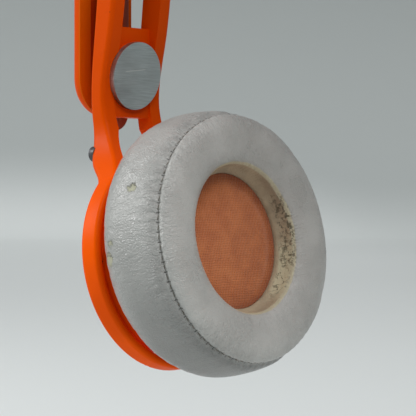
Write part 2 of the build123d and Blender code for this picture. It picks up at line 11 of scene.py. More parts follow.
import bmesh
import bpy
import numpy as np
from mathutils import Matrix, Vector


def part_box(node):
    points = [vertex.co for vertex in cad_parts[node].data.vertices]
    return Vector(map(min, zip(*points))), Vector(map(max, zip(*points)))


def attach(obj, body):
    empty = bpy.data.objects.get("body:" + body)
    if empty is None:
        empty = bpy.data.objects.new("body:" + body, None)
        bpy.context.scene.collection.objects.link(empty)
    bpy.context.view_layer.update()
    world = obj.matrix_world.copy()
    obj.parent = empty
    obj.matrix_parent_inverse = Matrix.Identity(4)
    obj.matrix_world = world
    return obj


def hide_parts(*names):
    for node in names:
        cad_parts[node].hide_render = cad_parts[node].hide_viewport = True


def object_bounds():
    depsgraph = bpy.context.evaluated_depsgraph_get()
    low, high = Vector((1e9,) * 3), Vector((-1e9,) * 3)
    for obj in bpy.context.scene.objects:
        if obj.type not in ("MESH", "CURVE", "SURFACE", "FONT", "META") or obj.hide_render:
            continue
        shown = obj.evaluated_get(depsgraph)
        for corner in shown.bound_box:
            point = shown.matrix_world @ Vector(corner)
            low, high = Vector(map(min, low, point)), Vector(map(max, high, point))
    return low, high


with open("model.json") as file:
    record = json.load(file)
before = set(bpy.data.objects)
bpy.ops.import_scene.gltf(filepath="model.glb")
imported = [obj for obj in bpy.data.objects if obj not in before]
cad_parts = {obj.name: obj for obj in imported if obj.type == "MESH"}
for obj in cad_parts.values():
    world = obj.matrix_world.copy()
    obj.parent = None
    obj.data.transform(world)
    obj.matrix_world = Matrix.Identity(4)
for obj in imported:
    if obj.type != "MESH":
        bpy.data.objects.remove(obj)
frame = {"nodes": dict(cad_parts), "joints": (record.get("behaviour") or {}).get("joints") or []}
CAD_BOX = [list(corner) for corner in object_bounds()]
NODES = frame["nodes"]
JOINTS = {joint["name"]: joint for joint in frame["joints"]}
SIDES = ("left", "right")
MM = 0.001
RNG = np.random.default_rng(7)

# The camera: its turn from the front to the wearer's right, and its place from the left pivot disc.
VIEW_TURN = math.radians(41.0)
VIEW_BACK = 0.560
VIEW_RIGHT = 0.02014
VIEW_DOWN = 0.0377
LENS_MM = 169.6
SENSOR_MM = 36.0

CUP_LEAN = math.radians(9.0)
OPENING_RISE = 2.0  # the cushion's middle above the cup's
INNER_X = 0.0965  # inner faces of the band's straight ends
SEAM_R = 34.2
SEAM_LENGTH = 2 * math.pi * SEAM_R
STITCHES = 81  # round the seam
CLOTH_R = 18.8
CLOTH_N = 24.35  # the speaker cloth's rim
UV_MM = 100.0  # millimetres per unit of a soft piece's UV map
# Places across the cushion's cover, in mm from the seam.
PLATE_Y = -23.0  # the cover has no dents behind this, where it lies on the plate
HELD_BACK_Y = -21.0  # the simulation holds it behind this
LINING_Y = 20.5  # it is held, and has no dents, past this
# Points round and along the soft pieces.
ROUND = 540
COARSE_ROUND = 180
CLOTH_ROUND = 192
CURVE_STEPS = 40
BACK_STEP = 1.6  # mm between the rows on the cushion's back
# The cushion's section (radius, n): back, outer band, seam, face, mouth and inner wall. A smooth
# curve runs through these points.
SECTION = (
    (19.3, 8.2), (24.0, 8.05), (29.0, 8.05), (32.2, 8.3), (34.2, 9.6), (35.6, 12.2), (36.2, 16.2),
    (36.1, 20.5), (35.6, 25.0), (34.9, 27.9), (34.2, 29.3), (33.5, 30.8), (31.9, 32.0),
    (29.5, 32.7), (27.0, 32.8), (24.3, 32.4), (22.0, 31.6), (20.6, 30.6), (20.0, 29.3),
    (19.6, 27.4), (18.8, 24.8), (18.9, 24.3), (19.2, 20.0), (19.3, 13.0),
)
SEAM_KNOT = 10  # the seam's place in that list


# ---- camera ---------------------------------------------------------------------------------
def add_camera():
    """The photograph's viewpoint: level, 41 degrees round to the wearer's right."""
    disc = Vector(JOINTS["fork_swivel_left"]["pos_m"])
    back = Vector((math.sin(VIEW_TURN), -math.cos(VIEW_TURN), 0))
    right = Vector((math.cos(VIEW_TURN), math.sin(VIEW_TURN), 0))
    camera = bpy.data.objects.new("camera", bpy.data.cameras.new("camera"))
    bpy.context.scene.collection.objects.link(camera)
    camera.location = disc + back * VIEW_BACK + right * VIEW_RIGHT - Vector((0, 0, VIEW_DOWN))
    camera.rotation_euler = (math.pi / 2, 0, VIEW_TURN)
    camera.data.sensor_width = SENSOR_MM
    camera.data.lens = LENS_MM
    camera.data.clip_start = 0.01
    bpy.context.scene.camera = camera


# ---- materials ------------------------------------------------------------------------------
def rgb(red, green, blue):
    """Linear colour from 0-255 display values."""
    values = []
    for c in (red, green, blue):
        c = c / 255
        values.append(c / 12.92 if c <= 0.04045 else ((c + 0.055) / 1.055) ** 2.4)
    return (*values, 1.0)


def shade(colour, gain, lift=0.0):
    """The colour made darker or lighter, within what a surface can reflect."""
    return tuple(min(1.0, c * gain + lift) for c in colour[:3]) + (1.0,)


class Finish:
    """A node material, with short calls for the nodes used here."""

    def __init__(self, name, **sockets):
        self.material = bpy.data.materials.new(name)
        self.material.use_nodes = True
        self.tree = self.material.node_tree
        self.shader = self.tree.nodes["Principled BSDF"]
        self.set(**sockets)

    def set(self, **sockets):
        for name, value in sockets.items():
            self.put(self.shader.inputs[name.replace("_", " ")], value)

    def put(self, socket, value):
        if isinstance(value, bpy.types.NodeSocket):
            self.tree.links.new(value, socket)
        else:
            socket.default_value = value

    def node(self, kind, *values, **named):
        node = self.tree.nodes.new(kind)
        for i, value in enumerate(values):
            if value is not None:
                self.put(node.inputs[i], value)
        for name, value in named.items():
            self.put(node.inputs[name], value)
        return node

    def place(self, kind="Object"):
        return self.node("ShaderNodeTexCoord").outputs[kind]

    def split(self, vector):
        return self.node("ShaderNodeSeparateXYZ", vector).outputs

    def join(self, x, y, z):
        return self.node("ShaderNodeCombineXYZ", x, y, z).outputs[0]

    def stretch(self, vector, x, y, z):
        node = self.tree.nodes.new("ShaderNodeVectorMath")
        node.operation = "MULTIPLY"
        self.put(node.inputs[0], vector)
        node.inputs[1].default_value = (x, y, z)
        return node.outputs[0]

    def noise(self, vector, scale, detail=2.0, rough=0.5):
        named = {"Vector": vector, "Scale": scale, "Detail": detail, "Roughness": rough}
        return self.node("ShaderNodeTexNoise", **named).outputs[0]

    def cells(self, vector, scale, feature="F1"):
        node = self.node("ShaderNodeTexVoronoi", Vector=vector, Scale=scale)
        node.feature = feature
        return node.outputs["Distance"]

    def math(self, operation, a, b=0.0):
        node = self.node("ShaderNodeMath", a, b)
        node.operation = operation
        return node.outputs[0]

    def plus(self, a, b):
        return self.math("ADD", a, b)

    def minus(self, a, b):
        return self.math("SUBTRACT", a, b)

    def times(self, a, b):
        return self.math("MULTIPLY", a, b)

    def most(self, a, b):
        return self.math("MAXIMUM", a, b)

    def length(self, a, b):
        """The length of the flat vector (a, b)."""
        return self.math("SQRT", self.plus(self.times(a, a), self.times(b, b)))

    def ramp(self, value, low, high, out_low=0.0, out_high=1.0):
        node = self.node("ShaderNodeMapRange", value, low, high, out_low, out_high)
        node.interpolation_type = "SMOOTHSTEP"
        return node.outputs[0]

    def near(self, value, centre, half, soft):
        """1 within half of the centre, falling to 0 over soft."""
        gap = self.math("ABSOLUTE", self.minus(value, centre))
        return self.ramp(gap, half, half + soft, 1.0, 0.0)

    def mix(self, factor, a, b):
        node = self.tree.nodes.new("ShaderNodeMix")
        node.data_type = "RGBA"
        for i, value in ((0, factor), (6, a), (7, b)):
            self.put(node.inputs[i], value)
        return node.outputs[2]

    def bump(self, height, strength, distance, under=None):
        node = self.node("ShaderNodeBump", Strength=strength, Distance=distance, Height=height)
        if under is not None:
            self.put(node.inputs["Normal"], under)
        return node.outputs[0]

    def from_middle(self, part):
        """Millimetres from the middle of a soft piece's UV map."""
        return self.times(self.minus(part, 0.5), UV_MM)


def orange_plastic(name, colour, rough_low, rough_high):
    """Moulded plastic: slight mottling, fine grain, handling dirt, specks and hairline scratches.

    Painted shade makes it a little darker above the ring, and darker and browner on the inner faces of
    the band's straight ends.
    """
    ring_z, legs_z = -0.135, -0.105  # painted shade deepens between these heights
    inner_shade_z, unshaded_z = -0.060, -0.054  # painted shade, brown, on the inner faces below these
    f = Finish(name, IOR=1.45, Specular_IOR_Level=0.05)
    at = f.place()
    base = f.mix(f.ramp(f.noise(at, 40, 3), 0.35, 0.65), shade(colour, 0.86), shade(colour, 1.08))
    x, _, z = f.split(at)
    # Painted shade: the legs above the ring are darker than the better-lit ring.
    base = f.mix(f.ramp(z, ring_z, legs_z), base, shade(colour, 0.74))
    # Painted shade, brown, on the inner faces of the band's straight ends, in the gap beside the arm.
    aside = f.math("ABSOLUTE", x)
    inner = f.times(f.ramp(aside, INNER_X + 0.0002, INNER_X + 0.0006, 1.0, 0.0),
                    f.ramp(aside, INNER_X - 0.0008, INNER_X - 0.0004))
    painted_inner_shade = (colour[0] * 0.62, colour[1] * 1.15, 0.001, 1.0)
    base = f.mix(f.times(inner, f.ramp(z, inner_shade_z, unshaded_z, 0.8, 0.0)), base, painted_inner_shade)
    dirt = f.ramp(f.noise(at, 260, 6, 0.7), 0.60, 0.78, 0.0, 0.30)
    base = f.mix(dirt, base, (colour[0] * 0.5, colour[1] * 0.5, 0.0, 1.0))
    speck = f.times(f.ramp(f.cells(at, 240), 0.05, 0.10, 1.0, 0.0),
                    f.ramp(f.noise(at, 55, 2), 0.55, 0.62))
    base = f.mix(speck, base, rgb(70, 40, 30))
    hair = f.noise(f.stretch(at, 2600, 2600, 90), 1.0, 1)
    line = f.times(f.ramp(hair, 0.70, 0.76), f.ramp(f.noise(at, 70, 2), 0.5, 0.65))
    rough = f.ramp(f.noise(at, 150, 4, 0.6), 0.3, 0.7, rough_low, rough_high)
    rough = f.plus(rough, f.times(line, 0.15))
    grain = f.bump(f.noise(at, 2400, 3), 0.22, 0.00006)
    f.set(Base_Color=base, Roughness=rough, Normal=f.bump(line, 0.25, 0.00005, grain))
    return f.material


def brushed_metal(name, colour, streaks, rough, scratch=None):
    """Brushed metal: streaks along one direction, smudges, and a scratch if one is given."""
    f = Finish(name, Metallic=1.0, Anisotropic=0.3)
    at = f.place()
    fine = f.noise(f.stretch(at, *streaks), 1.0, 4, 0.65)
    smudge = f.noise(at, 110, 3)
    low = shade(colour, 0.86)
    base = f.mix(f.ramp(fine, 0.3, 0.7), low, shade(colour, 1.12))
    base = f.mix(f.ramp(smudge, 0.45, 0.75, 0.0, 0.35), base, low)
    height = fine
    if scratch is not None:
        y0, z0, slope = scratch
        _, y, z = f.split(at)
        off = f.minus(f.minus(z, z0), f.times(f.minus(y, y0), slope))
        mark = f.times(f.near(off, 0.0, 0.00006, 0.00008), f.near(y, y0, 0.0035, 0.001))
        base = f.mix(f.times(mark, 0.7), base, rgb(225, 225, 220))
        height = f.minus(fine, mark)
    f.set(Base_Color=base, Roughness=f.ramp(smudge, 0.3, 0.7, rough, rough + 0.12))
    f.set(Normal=f.bump(height, 0.14, 0.00003))
    return f.material


def plain(name, colour, rough, grain=1800, depth=0.3, metallic=0.0):
    """A small part's finish: mottled colour, varied gloss and a fine grain."""
    f = Finish(name, Metallic=metallic)
    at = f.place()
    mottle = f.ramp(f.noise(at, 220, 4, 0.6), 0.3, 0.7)
    f.set(Base_Color=f.mix(mottle, shade(colour, 0.65), shade(colour, 1.3, 0.004)))
    f.set(Roughness=f.ramp(f.noise(at, 400, 3), 0.3, 0.7, rough, rough + 0.2))
    f.set(Normal=f.bump(f.noise(at, grain, 4, 0.6), depth, 0.00008))
    return f.material


def circuit_board():
    """Green board with copper tracks."""
    f = Finish("circuit_board", Roughness=0.4)
    at = f.place()
    wave = f.cells(f.stretch(at, 500, 500, 120), 1.0, "DISTANCE_TO_EDGE")
    track = f.ramp(wave, 0.04, 0.07, 1.0, 0.0)
    f.set(Base_Color=f.mix(track, rgb(12, 70, 38), rgb(150, 110, 50)))
    f.set(Normal=f.bump(track, 0.4, 0.00008))
    return f.material


def white_leather():
    """The cushion's cover. The UV map holds the way round (0 to 1) and mm from the seam."""
    f = Finish("white_leather", IOR=1.45, Specular_IOR_Level=0.85)
    at = f.place()
    turn, across, _ = f.split(f.place("UV"))
    x = f.times(turn, SEAM_LENGTH)
    y = f.from_middle(across)
    flat = f.join(x, y, 0.0)
    blotch = f.noise(at, 70, 4, 0.6)
    base = f.mix(f.ramp(blotch, 0.3, 0.72), rgb(175, 175, 171), rgb(193, 193, 189))
    # Painted shade: the outer band is darker than the face, most of all at the bottom, which faces
    # away from the light above.
    low = f.ramp(f.math("COSINE", f.times(turn, 2 * math.pi)), -0.1, 1.0, 0.34, 0.84)
    base = f.mix(f.times(f.ramp(y, -1.5, 0.5, 1.0, 0.0), low), base, rgb(130, 131, 129))
    base, lining, dark = leather_age(f, base, turn, y)
    base, bare = leather_chips(f, base, turn, y, flat)
    soil = f.times(f.ramp(f.noise(at, 130, 6, 0.75), 0.55, 0.75), 0.07)
    base = f.mix(soil, base, rgb(120, 120, 114))
    # The seam: a thin dark line, with a darker tick at each needle hole.
    hole = f.math("COSINE", f.times(turn, 2 * math.pi * STITCHES))
    tick = f.times(f.ramp(hole, 0.90, 0.98), f.near(y, 0.0, 0.35, 0.40))
    line = f.times(f.near(y, 0.0, 0.06, 0.22), 0.6)
    base = f.mix(f.times(f.most(tick, line), 0.7), base, rgb(66, 62, 56))
    relief = f.plus(f.plus(dark, f.times(bare, 0.7)), f.times(tick, 0.8))
    normal = f.bump(f.times(relief, -1.0), 0.8, 0.00022, leather_folds(f, x, y, flat))
    rough = f.ramp(blotch, 0.3, 0.7, 0.26, 0.38)
    rough = f.plus(rough, f.times(f.most(lining, bare), 0.35))
    f.set(Base_Color=base, Roughness=rough, Normal=normal)
    return f.material


def leather_age(f, base, turn, y):
    """A tan lining, a yellowed border round the mouth, one flaked arc of it and one dark arc."""
    border_y, worn_y, flake_y = 16.2, 17.8, 18.6
    worn_turn, flake_turn = 0.27, 0.17  # the middle of each arc, as a part of a turn
    at = f.place()
    uneven = f.minus(f.noise(at, 240, 4, 0.65), 0.5)
    edge = f.plus(y, uneven)
    lining = f.ramp(edge, border_y + 0.2, border_y + 0.8)
    tan = f.mix(f.ramp(f.noise(at, 160, 4, 0.6), 0.3, 0.7), rgb(162, 146, 120), rgb(186, 170, 140))
    base = f.mix(f.times(lining, 0.95), base, tan)
    border = f.near(edge, border_y, 0.40, 0.40)
    flake = f.times(f.near(turn, flake_turn, 0.04, 0.05), f.near(edge, flake_y, 1.6, 1.0))
    base = f.mix(f.most(f.times(border, 0.85), f.times(flake, 0.8)), base, rgb(206, 200, 168))
    worn = f.times(f.near(turn, worn_turn, 0.05, 0.06), f.near(edge, worn_y, 1.2, 1.8))
    speck = f.ramp(f.noise(at, 900, 4, 0.7), 0.50, 0.60)
    crack = f.times(f.near(f.noise(at, 380, 4, 0.65), 0.5, 0.004, 0.016), flake)
    dark = f.most(f.times(speck, worn), crack)
    return f.mix(f.times(dark, 0.8), base, rgb(84, 80, 58)), lining, dark


def leather_chips(f, base, turn, y, flat):
    """Chips on the outer band, with a torn dark edge."""
    chips = ((0.682, -8.4, 1.1), (0.763, -18.0, 1.7), (0.745, -16.0, 0.8))  # way round, y, size
    ragged = f.times(f.noise(flat, 0.75, 5, 0.75), 4.4)
    bare, torn = 0.0, 0.0
    for chip_turn, chip_y, size in chips:
        dx = f.times(f.minus(turn, chip_turn), SEAM_LENGTH)
        dy = f.times(f.minus(y, chip_y), 0.8)
        reach = f.plus(f.length(dx, dy), ragged)
        rip = f.times(f.near(reach, size + 2.2, 0.05, 0.3), f.ramp(dx, -0.4, 0.6, 1.0, 0.0))
        bare = f.most(bare, f.ramp(reach, size + 1.9, size + 2.3, 1.0, 0.0))
        torn = f.most(torn, rip)
    base = f.mix(f.times(bare, 0.75), base, rgb(176, 174, 142))
    return f.mix(f.times(torn, 0.75), base, rgb(92, 92, 78)), bare


def leather_folds(f, x, y, flat):
    """Pebble grain, wrinkles that run across the cover where it is gathered, and wide creases."""
    pebbles = f.cells(f.join(f.times(x, 1.5), f.times(y, 1.05), 0.0), 1.0, "DISTANCE_TO_EDGE")
    grain = f.bump(f.ramp(pebbles, 0.0, 0.30), 0.50, 0.00013)
    fine = f.bump(f.noise(f.place(), 2600, 3), 0.20, 0.00006, grain)
    along = f.plus(f.times(x, 1.35), f.times(f.noise(flat, 0.22, 3), 5.0))
    wrinkle = f.noise(f.join(along, f.times(y, 0.30), 0.0), 1.0, 4, 0.62)
    wrinkle = f.ramp(wrinkle, 0.32, 0.62)
    # Strongest and patchy on both sides of the seam, weaker on the outer band and by the mouth.
    place = f.plus(f.near(y, -1.6, 1.2, 5.0), f.near(y, 2.6, 1.5, 5.5))
    place = f.times(place, f.ramp(f.noise(flat, 0.06, 2), 0.38, 0.58, 0.35, 1.0))
    place = f.plus(place, f.times(f.near(y, -12.0, 11.0, 2.0), 0.7))
    place = f.plus(place, f.times(f.near(y, 14.5, 1.2, 3.5), 0.6))
    folds = f.bump(f.times(wrinkle, place), 0.7, 0.00018, fine)
    crease = f.cells(f.join(f.times(x, 0.36), f.times(y, 0.22), 0.0), 1.0)
    return f.bump(crease, 0.16, 0.0005, folds)


def speaker_cloth():
    """Woven cloth. The UV map holds mm from the middle."""
    pitch = 0.66
    thread = 2 * math.pi / pitch
    f = Finish("speaker_cloth", Roughness=0.9, Sheen_Weight=0.25, Sheen_Roughness=0.5, IOR=1.4)
    u, v, _ = f.split(f.place("UV"))
    x, y = f.from_middle(u), f.from_middle(v)
    flat = f.join(x, y, 0.0)
    bend = f.times(f.noise(flat, 0.35, 2), 0.9)
    warp = f.math("SINE", f.times(f.plus(x, bend), thread))
    weft = f.math("SINE", f.times(f.plus(y, bend), thread))
    yarn = f.plus(f.plus(f.times(warp, 0.8), weft), f.times(f.noise(flat, 2.2, 3, 0.6), 2.6))
    cloud = f.noise(flat, 0.16, 3, 0.6)
    base = f.mix(f.ramp(cloud, 0.3, 0.7), rgb(186, 102, 54), rgb(208, 122, 68))
    base = f.mix(f.ramp(yarn, -1.0, 1.8, 0.42, 0.0), base, rgb(120, 58, 28))
    speckle = f.noise(f.join(f.times(x, 1.6), f.times(y, 2.6), 0.0), 1.0, 4, 0.75)
    base = f.mix(f.ramp(speckle, 0.50, 0.70, 0.0, 0.35), base, rgb(236, 150, 92))
    # Painted shade: darker towards the rim, where the cushion's wall shades the cloth.
    base = f.mix(f.ramp(f.length(x, y), 15.0, CLOTH_R, 0.0, 0.6), base, rgb(122, 58, 30))
    f.set(Base_Color=base, Normal=f.bump(yarn, 0.55, 0.00009))
    return f.material


def pad_cover():
    """The crown pad's soft matt skin, with a fine dimpled grain."""
    f = Finish("pad_cover", IOR=1.45, Sheen_Weight=0.1)
    at = f.place()
    base = f.mix(f.ramp(f.noise(at, 90, 4), 0.3, 0.7), rgb(158, 52, 10), rgb(186, 66, 14))
    f.set(Base_Color=base, Roughness=f.ramp(f.noise(at, 300, 3), 0.3, 0.7, 0.5, 0.68))
    pits = f.bump(f.ramp(f.cells(at, 900, "DISTANCE_TO_EDGE"), 0.0, 0.3), 0.3, 0.00012)
    f.set(Normal=f.bump(f.noise(at, 2400, 3), 0.15, 0.00005, pits))
    return f.material


def stitch_thread():
    """Twisted thread."""
    f = Finish("stitch_thread", Sheen_Weight=0.2)
    at = f.place()
    twist = f.noise(f.stretch(at, 3200, 3200, 3200), 1.0, 2)
    f.set(Base_Color=f.mix(f.ramp(twist, 0.3, 0.7), rgb(96, 92, 84), rgb(136, 131, 120)))
    f.set(Roughness=f.ramp(twist, 0.3, 0.7, 0.6, 0.8), Normal=f.bump(twist, 0.5, 0.00012))
    return f.material


def paint_nodes():
    """Gives each CAD node that no soft piece replaces its material."""
    along_y, along_z = (900, 140, 3600), (900, 3600, 120)  # brushing, as noise scales
    _, disc_y, disc_z = JOINTS["fork_swivel_left"]["pos_m"]
    scratch = (disc_y - 0.001, disc_z + 0.0015, 0.12)  # its middle and slope
    steel = rgb(180, 187, 187)
    shell = orange_plastic("orange_shell", rgb(255, 90, 0), 0.34, 0.46)
    # A darker, matter copy of the shell's orange: painted shade for the inner, recessed pieces.
    inner = orange_plastic("orange_inner", rgb(206, 50, 0), 0.46, 0.60)
    finishes = {
        "headband_outer_shell": shell,
        "fork_arm": shell,
        "cup_shell": shell,
        "headband_inner_shell": inner,
        "cushion_plate": inner,
        "track_plate": inner,
        "hinge_disc": brushed_metal("disc_metal", steel, along_y, 0.34, scratch),
        "outer_cap": brushed_metal("cap_metal", steel, along_y, 0.30),
        "slider_strip": brushed_metal("strip_metal", rgb(168, 160, 156), along_z, 0.26),
        "spring_band": plain("spring_steel", rgb(130, 134, 138), 0.3, metallic=1.0),
        "neck_screws": plain("dark_screw", rgb(84, 84, 86), 0.38, metallic=0.5),
        "pivot_bush": plain("bush_brass", rgb(186, 150, 84), 0.3, metallic=1.0),
        "slider_carriage": plain("nylon", rgb(46, 46, 46), 0.5),
        "baffle": plain("inner_plastic", rgb(34, 34, 36), 0.5),
        "driver_foam": plain("foam", rgb(30, 30, 30), 0.9, 1100, 0.9),
        "driver_magnet": plain("magnet", rgb(96, 96, 100), 0.38, metallic=0.7),
        "diaphragm": plain("film", rgb(166, 158, 132), 0.3, 700, 0.3),
        "circuit_board": circuit_board(),
        "crossover_lead": plain("lead_rubber", rgb(28, 28, 28), 0.6),
    }
    same = {
        "spring_band": ("detent_spring", "swivel_axle", "pivot_pins"),
        "neck_screws": ("track_screws", "strip_screws", "baffle_screws"),
        "slider_carriage": ("pivot_washer",),
        "baffle": ("audio_jack", "driver_grille", "driver_frame"),
    }
    for first, others in same.items():
        for other in others:
            finishes[other] = finishes[first]
    for name, obj in NODES.items():
        finish = finishes.get(name.removesuffix("_left").removesuffix("_right"))
        if finish is None:
            continue
        if not obj.data.materials:
            obj.data.materials.append(finish)
        for i in range(len(obj.data.materials)):
            obj.data.materials[i] = finish


# ---- soft pieces ----------------------------------------------------------------------------
def to_world(points, side):
    """Cup-frame millimetres to scene metres."""
    centre = np.array(JOINTS["cup_tilt_left"]["pos_m"])
    down = np.array((math.sin(CUP_LEAN), 0, -math.cos(CUP_LEAN)))
    inwards = np.array((math.cos(CUP_LEAN), 0, math.sin(CUP_LEAN)))
    x, y, n = points[..., 0:1], points[..., 1:2], points[..., 2:3]
    world = centre + MM * ((x - OPENING_RISE) * down + y * np.array((0, 1, 0)) + n * inwards)
    if side == "right":
        world = world * np.array((-1, 1, 1))
    return world


def grid_object(name, points, uv=None, close_rows=True, material=None):
    """A smooth quad mesh from points[column][row]. Columns close on themselves, rows may too."""
    columns, rows = points.shape[:2]
    index = np.arange(columns * rows).reshape(columns, rows)
    last = rows if close_rows else rows - 1
    i, j = np.meshgrid(np.arange(columns), np.arange(last), indexing="ij")
    i2, j2 = (i + 1) % columns, (j + 1) % rows
    faces = np.stack([index[i, j], index[i2, j], index[i2, j2], index[i, j2]], -1).reshape(-1, 4)
    mesh = bpy.data.meshes.new(name)
    mesh.from_pydata(points.reshape(-1, 3).tolist(), [], faces.tolist())
    if uv is not None:
        corners = [uv(i + a, j + b) for a, b in ((0, 0), (1, 0), (1, 1), (0, 1))]
        flat = np.stack(corners, 2).reshape(-1)
        layer = mesh.uv_layers.new(name="surface")
        layer.data.foreach_set("uv", flat.astype(np.float32))
    build = bmesh.new()
    build.from_mesh(mesh)
    write_mesh(build, mesh)
    return link_mesh(mesh, material)


def write_mesh(build, mesh):
    """Writes the built mesh back, with every face turned outwards."""
    bmesh.ops.recalc_face_normals(build, faces=build.faces)
    build.to_mesh(mesh)
    build.free()


def link_mesh(mesh, material):
    """A smooth object of the mesh, in the scene."""
    mesh.polygons.foreach_set("use_smooth", np.ones(len(mesh.polygons), bool))
    if material is not None:
        mesh.materials.append(material)
    obj = bpy.data.objects.new(mesh.name, mesh)
    bpy.context.scene.collection.objects.link(obj)
    return obj


def circle(count):
    """Evenly spaced angles of a full turn."""
    return np.arange(count) / count * 2 * math.pi


def hump(at, centre, width):
    """A smooth rise to 1 at the centre."""
    return np.exp(-(((at - centre) / width) ** 2))


def section_curve():
    """The cushion's section as dense points, and each one's distance from the seam in mm."""
    knots = np.array(SECTION)
    count = len(knots)
    pieces = []
    steps = np.linspace(0, 1, CURVE_STEPS, endpoint=False)[:, None]
    for k in range(count):
        a, b, c, d = (knots[(k + o) % count] for o in (-1, 0, 1, 2))
        pieces.append(0.5 * (2 * b + (c - a) * steps + (2 * a - 5 * b + 4 * c - d) * steps**2
                             + (3 * b - a - 3 * c + d) * steps**3))
    curve = np.concatenate(pieces)
    gaps = np.linalg.norm(np.diff(curve, axis=0, append=curve[:1]), axis=1)
    along = np.concatenate([[0], np.cumsum(gaps)])
    return curve, along[:-1] - along[SEAM_KNOT * CURVE_STEPS], gaps.sum()


def section_rows(outer_step, seam_step, face_step):
    """Places along the section, in mm from the seam, with a step for each of its stretches."""
    seam_half, face_end = 3.0, 30.0
    closing = 0.5  # the last row stays this far from the first
    _, along, total = section_curve()
    return np.concatenate([
        np.arange(along[0], -seam_half, outer_step),
        np.arange(-seam_half, seam_half, seam_step),
        np.arange(seam_half, face_end, face_step),
        np.arange(face_end, along[0] + total - closing, BACK_STEP),
    ])


def cushion_base(rows, columns):
    """The smooth cushion in the cup frame, its outward normals, and each column's angle."""
    curve, along, total = section_curve()
    wrap = np.concatenate([along, [along[0] + total]])
    closed = np.concatenate([curve, curve[:1]])

    def at(places):
        return np.stack([np.interp(places, wrap, closed[:, k]) for k in (0, 1)])

    near = 0.2
    r, n = at(rows)
    dr, dn = at(rows + near) - at(rows - near)
    size = np.hypot(dr, dn)
    out_r, out_n = dn / size, -dr / size
    turn = circle(columns)
    c, s = np.cos(turn)[:, None], np.sin(turn)[:, None]
    points = np.stack([r * c, r * s, np.broadcast_to(n, (columns, len(rows)))], -1)
    normals = np.stack([out_r * c, out_r * s, np.broadcast_to(out_n, (columns, len(rows)))], -1)
    return points, normals, turn


def inflate(points, rows):
    """Cloth simulation of the cover, held at the seam, the plate and the lining. Returns the moves."""
    scale = 0.01  # scene units per millimetre: ten times life size, which the solver handles better
    frames = 20
    most = 0.5  # the cover moves no further than this
    seam_held = 0.5  # and not at all this near the seam
    obj = grid_object("cushion_cloth", points * scale)
    group = obj.vertex_groups.new(name="held")
    held = (np.abs(rows) < seam_held) | (rows < HELD_BACK_Y) | (rows > LINING_Y)
    index = np.arange(points.shape[0] * points.shape[1]).reshape(points.shape[:2])
    group.add(index[:, held].reshape(-1).tolist(), 1.0, "REPLACE")
    cloth = obj.modifiers.new("cloth", "CLOTH")
    cloth.settings.quality = 5
    cloth.settings.vertex_group_mass = "held"
    cloth.settings.use_pressure = True
    cloth.settings.uniform_pressure_force = 4.0
    cloth.settings.shrink_min = -0.03
    cloth.settings.tension_stiffness = 20
    cloth.settings.compression_stiffness = 20
    cloth.settings.shear_stiffness = 8
    cloth.settings.bending_stiffness = 0.6
    cloth.settings.effector_weights.gravity = 0
    cloth.collision_settings.use_collision = False
    cloth.point_cache.frame_start = 1
    cloth.point_cache.frame_end = frames
    scene = bpy.context.scene
    for step in range(1, frames + 1):
        scene.frame_set(step)
    result = obj.evaluated_get(bpy.context.evaluated_depsgraph_get()).to_mesh()
    moved = np.empty(len(result.vertices) * 3, np.float32)
    result.vertices.foreach_get("co", moved)
    shift = moved.reshape(points.shape) / scale - points
    bpy.data.objects.remove(obj)
    scene.frame_set(1)
    size = np.linalg.norm(shift, axis=-1, keepdims=True)
    return shift * np.minimum(1.0, most / np.maximum(size, 1e-6))


def spread(shift, coarse_rows, rows, columns):
    """Carries the coarse moves over to the fine grid, smoothly."""
    turns = np.arange(columns) / columns * len(shift)
    low = np.floor(turns).astype(int)
    part = (turns - low)[:, None, None]
    wide = shift[low] * (1 - part) + shift[(low + 1) % len(shift)] * part
    fine = np.stack([
        np.stack([np.interp(rows, coarse_rows, wide[i, :, k]) for k in range(3)], -1)
        for i in range(columns)
    ])
    for _ in range(3):
        fine = (np.roll(fine, 1, 0) + 2 * fine + np.roll(fine, -1, 0)) / 4
        fine[:, 1:-1] = (fine[:, :-2] + 2 * fine[:, 1:-1] + fine[:, 2:]) / 4
    return fine


def ripples(turn, low, high, count):
    """An uneven wave round the cushion with between low and high ripples, from -1 to 1."""
    total = np.zeros_like(turn)
    for _ in range(count):
        total += np.sin(RNG.integers(low, high) * turn + RNG.uniform(0, 2 * math.pi))
    return total / np.abs(total).max()


def cushion_points():
    """The finished cushion in the cup frame: inflated cover, seam groove, puckers and gathers."""
    rows = section_rows(outer_step=1.0, seam_step=0.24, face_step=0.62)
    points, normals, turn = cushion_base(rows, ROUND)
    moves = np.zeros(points.shape)
    coarse = section_rows(outer_step=1.6, seam_step=0.8, face_step=1.5)
    small, _, _ = cushion_base(coarse, COARSE_ROUND)
    moves = spread(inflate(small, coarse), coarse, rows, ROUND)
    gap = np.abs(rows)
    groove = 0.34 * hump(gap, 0.0, 0.30) + 0.16 * hump(gap, 0.0, 1.3)
    pull = 0.5 + 0.5 * np.cos(STITCHES * turn)
    height = -groove - 0.16 * pull[:, None] * hump(gap, 0.9, 0.9)
    # Depth, range and number of the ripples, and where: by the seam, at the mouth, and broad dents.
    folds = (
        (0.075, 60, 110, 9, hump(rows, -4.0, 4.0) + 0.6 * hump(rows, 4.0, 3.0)),
        (0.09, 90, 150, 9, hump(rows, 17.5, 2.6)),
        (0.22, 3, 14, 7, hump(rows, -11.0, 8.0) + hump(rows, 9.0, 6.0)),
    )
    for depth, low, high, count, where in folds:
        height += depth * ripples(turn, low, high, count)[:, None] * where
    height[:, (rows > LINING_Y) | (rows < PLATE_Y)] = 0.0
    return rows, points + moves + normals * height[..., None]


